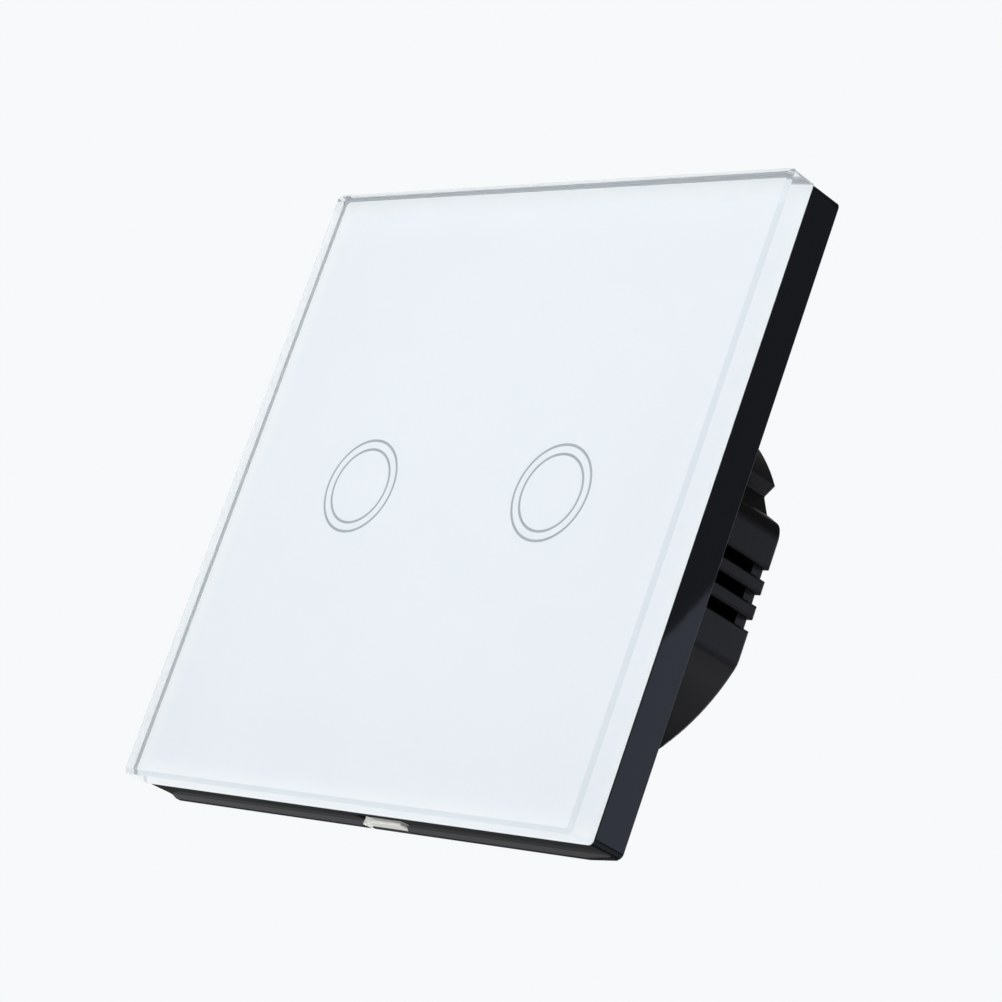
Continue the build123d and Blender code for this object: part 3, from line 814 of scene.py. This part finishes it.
def pick(piece: bpy.types.Object, domain: Domain, wanted: Callable[[Any], bool]) -> None:
    """Select the edges or faces that a test accepts, and nothing else.

    Args:
        piece: The object in edit mode, whose origin may still be away from zero.
        domain: Whether edges or faces are selected.
        wanted: The test on a bmesh element.
    """
    bpy.ops.mesh.select_mode(type=domain.value)
    bpy.ops.mesh.select_all(action="DESELECT")
    mesh = bmesh.from_edit_mesh(piece.data)
    for item in {Domain.EDGE: mesh.edges, Domain.FACE: mesh.faces}[domain]:
        if wanted(item):
            item.select_set(True)
    mesh.select_flush_mode()
    bmesh.update_edit_mesh(piece.data)


def close_piece(
    piece: bpy.types.Object, materials: dict[GlassSlot, bpy.types.Material], angle: float
) -> None:
    """Leave edit mode, put the piece's place into its mesh, shade it and give it its slots.

    Args:
        piece: The object in edit mode.
        materials: Its finish for each slot.
        angle: Faces that meet at less than this many degrees are shaded as one.
    """
    bpy.ops.mesh.select_all(action="SELECT")
    bpy.ops.mesh.normals_make_consistent(inside=False)
    bpy.ops.object.mode_set(mode="OBJECT")
    bpy.ops.object.transform_apply(location=True, rotation=True, scale=True)
    bpy.ops.object.shade_smooth_by_angle(angle=math.radians(angle))
    piece.data.materials.clear()
    for slot in sorted(materials):
        piece.data.materials.append(materials[slot])


# The pieces


@dataclass
class GlassPlate:
    """The square plate of glass, with its ground and polished edges."""

    side: float = PANEL_SIDE
    front: float = -9.0
    back: float = -5.0
    corner_radius: float = 0.6
    corner_steps: int = 6
    front_bevel: float = 0.5
    back_bevel: float = 0.15
    ground_margin: float = 0.16
    print_bond: float = 0.012
    middle_share: float = 0.25
    smooth_angle: float = 20.0

    def build(
        self, clear: bpy.types.Material, ground: bpy.types.Material, bevel: bpy.types.Material
    ) -> bpy.types.Object:
        """Model the plate from a box, grind its edges and dress it.

        Args:
            clear: The glass.
            ground: The finish of the arris at the back.
            bevel: The glass of the front bevel.

        Returns:
            The finished plate. Its back ends a hair inside the print, so that the two read as bonded.
        """
        back = self.back + self.print_bond
        centre = Vector((0.0, (self.front + back) / 2, 0.0))
        plate = start_cube("glass_plate", centre, Vector((self.side, back - self.front, self.side)))
        self.grind(plate)
        slots = {GlassSlot.CLEAR: clear, GlassSlot.GROUND: ground, GlassSlot.BEVEL: bevel}
        close_piece(plate, slots, self.smooth_angle)
        self.share_out_slots(plate)
        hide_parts("glass_panel")
        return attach(plate, Body.PANEL.value)

    def grind(self, plate: bpy.types.Object) -> None:
        """Round the corners, bevel the front and the back, and mark off the ground line of the back.

        Args:
            plate: The box, in edit mode.
        """
        pick(plate, Domain.EDGE, lambda e: abs((e.verts[0].co - e.verts[1].co).normalized().y) > ALONG)
        bpy.ops.mesh.bevel(offset=self.corner_radius * MM, segments=self.corner_steps, affect="EDGES")
        for way, width in ((-1, self.front_bevel), (1, self.back_bevel)):
            pick(plate, Domain.FACE, lambda f, w=way: f.normal.y * w > ALONG)
            bpy.ops.mesh.region_to_loop()
            bpy.ops.mesh.bevel(offset=width * MM, segments=1, affect="EDGES")
        pick(plate, Domain.FACE, lambda f: f.normal.y > ALONG)
        bpy.ops.mesh.inset(thickness=self.ground_margin * MM)

    def share_out_slots(self, plate: bpy.types.Object) -> None:
        """Give the bevels and the ground line at the back, and the bevels at the front, their own slots.

        Args:
            plate: The plate with its three slots.
        """
        for face in plate.data.polygons:
            reach = max(abs(face.center.x), abs(face.center.z))
            if reach < self.side * self.middle_share * MM:
                continue
            if face.normal.y > LEANING:
                face.material_index = GlassSlot.GROUND
            elif face.normal.y < -LEANING:
                face.material_index = GlassSlot.BEVEL


# The studio


@dataclass
class Camera:
    """The photograph's camera, fitted to the panel's corners and the housing."""

    place_mm: tuple[float, float, float] = (310.42, -260.23, -107.72)
    turn_deg: tuple[float, float, float] = (105.9977, -18.7012, 44.7211)
    lens: float = 126.456
    sensor: float = 36.0
    nearest_mm: float = 10.0
    farthest_mm: float = 20000.0

    def build(self) -> None:
        """Make the camera and set it as the scene's."""
        data = bpy.data.cameras.new("photo_camera")
        data.lens = self.lens
        data.sensor_width = self.sensor
        data.clip_start = self.nearest_mm * MM
        data.clip_end = self.farthest_mm * MM
        camera = bpy.data.objects.new("photo_camera", data)
        camera.location = Vector(self.place_mm) * MM
        camera.rotation_euler = [math.radians(turn) for turn in self.turn_deg]
        bpy.context.collection.objects.link(camera)
        bpy.context.scene.camera = camera


@dataclass(frozen=True)
class Softbox:
    """One soft lamp that looks at a point."""

    name: str
    place_mm: tuple[float, float, float]
    size_mm: tuple[float, float]
    watts: float
    colour: str = "#FFFFFF"
    target_mm: tuple[float, float, float] = (0.0, 0.0, 0.0)
    turn_deg: float = 0.0
    only_on: tuple[str, ...] = ()

    def build(self) -> None:
        """Make the lamp, flagged off from everything but the pieces it is meant for, if it names any."""
        data = bpy.data.lights.new(self.name, "AREA")
        data.shape = "RECTANGLE"
        data.size, data.size_y = (side * MM for side in self.size_mm)
        data.energy = self.watts
        data.color = linear(self.colour)[:3]
        lamp = bpy.data.objects.new(self.name, data)
        lamp.location = Vector(self.place_mm) * MM
        aim = (Vector(self.target_mm) - Vector(self.place_mm)).normalized()
        turned = Quaternion(aim, math.radians(self.turn_deg)) @ aim.to_track_quat("-Z", "Y")
        lamp.rotation_euler = turned.to_euler()
        lamp.visible_camera = False
        bpy.context.collection.objects.link(lamp)
        if self.only_on:
            lit = bpy.data.collections.new(self.name + "_lights")
            for name in self.only_on:
                lit.objects.link(bpy.data.objects[name])
            lamp.light_linking.receiver_collection = lit


# Every node but the glass: lamps for these are neither mirrored in the glass nor felt by the floor
ALL_BUT_GLASS = tuple(DRESSED_NODES)

LAMPS = (
    # Wide and high in front: lights the white print evenly
    Softbox("key_softbox", place_mm=(60.0, -760.0, 560.0), size_mm=(1300.0, 1000.0), watts=4.4),
    # Low in front: lights what the frame and the module show from below
    Softbox(
        "low_front_softbox",
        place_mm=(120.0, -560.0, -280.0),
        size_mm=(900.0, 400.0),
        watts=1.0,
        only_on=ALL_BUT_GLASS,
    ),
    # Square to the frame's side and turned about its axis: its upper edge is the slanting line there
    Softbox(
        "side_softbox",
        place_mm=(262.0, 249.9, 47.5),
        size_mm=(90.0, 180.0),
        watts=0.034,
        colour="#D6E0FF",
        target_mm=(0.0, 249.9, 47.5),
        turn_deg=30.0,
        only_on=("panel_frame", "back_housing"),
    ),
    # Farther out and wider than the one before it: the dim light on the side's upper half
    Softbox(
        "side_fill_softbox",
        place_mm=(290.0, 150.0, 140.0),
        size_mm=(260.0, 360.0),
        watts=0.03,
        colour="#DCE6FF",
        target_mm=(0.0, 150.0, 140.0),
        only_on=("panel_frame",),
    ),
    # Low behind: the lower round of the housing
    Softbox(
        "lower_arc_softbox",
        place_mm=(175.0, 205.0, -175.0),
        size_mm=(240.0, 200.0),
        watts=0.045,
        colour="#E8ECFF",
        target_mm=(20.0, 12.0, -20.0),
        only_on=("panel_frame", "back_housing"),
    ),
    # High behind, from the left: the upper round of the housing
    Softbox(
        "upper_arc_softbox",
        place_mm=(-190.0, 243.0, 177.0),
        size_mm=(150.0, 150.0),
        watts=0.014,
        target_mm=(20.0, 12.0, 20.0),
        only_on=("back_housing",),
    ),
    # Below and to the left: the lip and groove along the foot of the frame
    Softbox(
        "foot_softbox",
        place_mm=(-228.0, -49.0, -229.0),
        size_mm=(120.0, 120.0),
        watts=0.0135,
        colour="#E8EAFF",
        target_mm=(0.0, -1.0, -40.0),
        only_on=("panel_frame",),
    ),
    # Below in front: the white clip in the foot
    Softbox(
        "clip_softbox",
        place_mm=(120.0, -160.0, -300.0),
        size_mm=(100.0, 100.0),
        watts=0.76,
        target_mm=(0.0, -3.0, -40.0),
        only_on=("release_clip",),
    ),
    # Wide behind: the steel yoke and the housing seen from the wall's side
    Softbox(
        "rear_softbox",
        place_mm=(0.0, 900.0, -40.0),
        size_mm=(1500.0, 950.0),
        watts=3.4,
        only_on=ALL_BUT_GLASS,
    ),
)


@dataclass
class Studio:
    """Pale floor, pale surroundings and soft lamps."""

    floor_height: float = -330.0
    floor_radius: float = 900.0
    floor_sides: int = 96
    floor_fade: float = 350.0
    floor_glow: float = 0.7
    paper: str = "#E4E8EB"
    paper_tone: str = "#E8ECEF"
    paper_roughness: float = 0.9
    paper_cloud: float = 400.0
    backdrop: str = "#F7F9FA"
    mirrored_share: float = 0.03
    fill_colour: str = "#FFFFFF"
    fill_front: float = 0.6
    fill_rear: float = 0.03
    from_way: float = 0.0
    to_way: float = 0.6
    brightest_way: tuple[float, float, float] = (-0.4, -0.8, -0.45)

    def build(self) -> None:
        """Make the floor, the world and the lamps."""
        self.make_floor()
        self.make_world()
        for lamp in LAMPS:
            lamp.build()

    def make_floor(self) -> None:
        """Lay a round pale floor below the object, which fades into the surroundings at its rim."""
        bpy.ops.object.select_all(action="DESELECT")
        bpy.ops.mesh.primitive_circle_add(
            vertices=self.floor_sides,
            radius=self.floor_radius * MM,
            fill_type="NGON",
            location=(0, 0, self.floor_height * MM),
        )
        floor = bpy.context.object
        floor.name = floor.data.name = "studio_floor"
        floor.data.materials.append(self.make_paper())
        floor.visible_glossy = False

    def make_paper(self) -> bpy.types.Material:
        """Build the paper of the floor, which glows for the camera and is gone at the floor's rim.

        Returns:
            The finished material.
        """
        material, tree = empty_material("matt_pale_paper")
        place = in_millimetres(tree)
        cloud = noise(tree, place, self.paper_cloud, GRAIN_DETAIL)
        paper = add_node(
            tree,
            "ShaderNodeBsdfPrincipled",
            {"Roughness": self.paper_roughness},
            {"Base Color": mix_colours(tree, cloud, self.paper, self.paper_tone)},
        )
        glow = add_node(tree, "ShaderNodeEmission", {"Color": linear(self.backdrop)})
        share = combine(tree, Operation.MULTIPLY, self.seen_by_eye(tree, 0.0), self.floor_glow)
        distance = add_node(tree, "ShaderNodeVectorMath", {"operation": "LENGTH"}, {0: place})
        rim = ease(tree, distance.outputs["Value"], self.floor_radius - self.floor_fade, self.floor_radius)
        gone = add_node(tree, "ShaderNodeBsdfTransparent")
        faded = mix_shaders(tree, rim, mix_shaders(tree, share, paper, glow), gone)
        add_node(tree, "ShaderNodeOutputMaterial", links={"Surface": faded.outputs[0]})
        return material

    @staticmethod
    def seen_by_eye(tree: Tree, mirrored: float) -> Socket:
        """Tell rays of the camera, straight or by way of clear glass, from those that only carry light.

        Args:
            tree: The node tree that asks.
            mirrored: How much a ray that another surface mirrored counts as one of the camera's.

        Returns:
            One for such a ray, the share for a mirrored one, and nothing for the others.
        """
        path = add_node(tree, "ShaderNodeLightPath")
        by_glass = combine(
            tree, Operation.MAXIMUM, path.outputs["Is Singular Ray"], path.outputs["Is Transmission Ray"]
        )
        by_camera = combine(tree, Operation.MAXIMUM, path.outputs["Is Camera Ray"], by_glass)
        by_gloss = combine(tree, Operation.MULTIPLY, path.outputs["Is Glossy Ray"], mirrored)
        return combine(tree, Operation.MAXIMUM, by_camera, by_gloss)

    def make_world(self) -> None:
        """Light the object more from the front and below, and show a pale backdrop to the camera.

        Sharp glass mirrors the backdrop in full. The black mouldings and the metal mirror the light that
        falls on them, and only a share of the backdrop, because a white surround on every side would wash
        their black out.
        """
        world = bpy.data.worlds.new("studio")
        bpy.context.scene.world = world
        world.use_nodes = True
        tree = world.node_tree
        tree.nodes.clear()
        way = add_node(tree, "ShaderNodeTexCoord")
        facing = add_node(
            tree,
            "ShaderNodeVectorMath",
            {"operation": "DOT_PRODUCT", 1: Vector(self.brightest_way).normalized()},
            {0: way.outputs["Generated"]},
        )
        level = ease(
            tree, facing.outputs["Value"], self.from_way, self.to_way, self.fill_rear, self.fill_front
        )
        lit = add_node(tree, "ShaderNodeBackground", {"Color": linear(self.fill_colour)}, {"Strength": level})
        shown = add_node(tree, "ShaderNodeBackground", {"Color": linear(self.backdrop)})
        mixed = mix_shaders(tree, self.seen_by_eye(tree, self.mirrored_share), lit, shown)
        add_node(tree, "ShaderNodeOutputWorld", links={"Surface": mixed.outputs[0]})


@dataclass
class Switch:
    """The whole switch: its CAD nodes dressed, and the plate of glass modelled here."""

    nodes: dict[str, bpy.types.Object]
    made: dict[str, bpy.types.Material] = field(default_factory=dict)

    def material(self, finish: Finish | ClearFinish) -> bpy.types.Material:
        """Make a finish once and hand it out after that.

        Args:
            finish: The finish wanted.

        Returns:
            Its material.
        """
        if finish.name not in self.made:
            self.made[finish.name] = finish.make()
        return self.made[finish.name]

    def dress_nodes(self) -> None:
        """Give every CAD node that stays its own finish."""
        for name, finish in DRESSED_NODES.items():
            node = self.nodes[name]
            node.data.materials.clear()
            node.data.materials.append(self.material(finish))
            LOG.info("dressed %s in %s", name, finish.name)

    def build(self) -> None:
        """Dress the CAD nodes and model the glass."""
        self.dress_nodes()
        clear, ground, bevel = (self.material(finish) for finish in (FLOAT_GLASS, GROUND_ARRIS, GLASS_BEVEL))
        plate = GlassPlate().build(clear, ground, bevel)
        LOG.info("modelled %s", plate.name)


def main() -> None:
    """Load the frame, set up the studio and build the switch."""
    logging.basicConfig(level=logging.INFO)
    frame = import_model()
    scene = bpy.context.scene
    scene.view_settings.view_transform = "Standard"
    Camera().build()
    Studio().build()
    Switch(frame["nodes"]).build()


if __name__ == "__main__":
    main()
